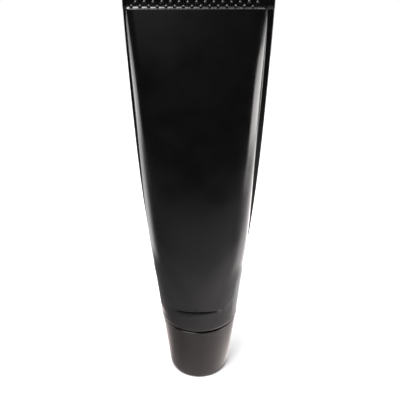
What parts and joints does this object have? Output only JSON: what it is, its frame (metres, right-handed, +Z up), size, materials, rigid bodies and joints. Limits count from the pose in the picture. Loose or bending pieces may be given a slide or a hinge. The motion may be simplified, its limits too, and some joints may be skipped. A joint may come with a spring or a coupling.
{
  "type": "shaving cream tube",
  "caption": "Black squeeze tube of shaving cream with a flat sealed tail, standing upright on its tapered screw cap.",
  "frame": {"origin": "centre of the cap's flat standing face", "axes": "+Z up the tube's axis from the cap to the tail seal, X across the flat tail seal, the broad front of the tube faces -Y"},
  "size_m": [0.0596, 0.038, 0.1772],
  "materials": {
    "sleeve_plastic": "satin black polyethylene",
    "head_plastic": "moulded black polyethylene",
    "cap_plastic": "semi-gloss black polypropylene",
    "insert_plastic": "moulded dark grey polypropylene",
    "liner_foam": "white foamed polyethylene",
    "cream": "moist white cream"
  },
  "bodies": {
    "tube": {"tube_sleeve": "sleeve_plastic", "tube_head": "head_plastic", "shaving_cream": "cream"},
    "liner": {"cap_liner": "liner_foam"},
    "cap": {"cap_shell": "cap_plastic", "cap_insert": "insert_plastic"}
  },
  "joints": [
    {"name": "cap_lift", "type": "slide", "parent": "tube", "child": "liner", "axis": [0, 0, -1], "range_m": [0, 0.0057]},
    {"name": "cap_screw", "type": "hinge", "parent": "liner", "child": "cap", "pos_m": [0, 0, 0], "axis": [0, 0, -1], "range_deg": [0, 675]}
  ],
  "couplings": [
    {"joint": "cap_lift", "follows": "cap_screw", "m_per_rad": 0.00047746}
  ]
}
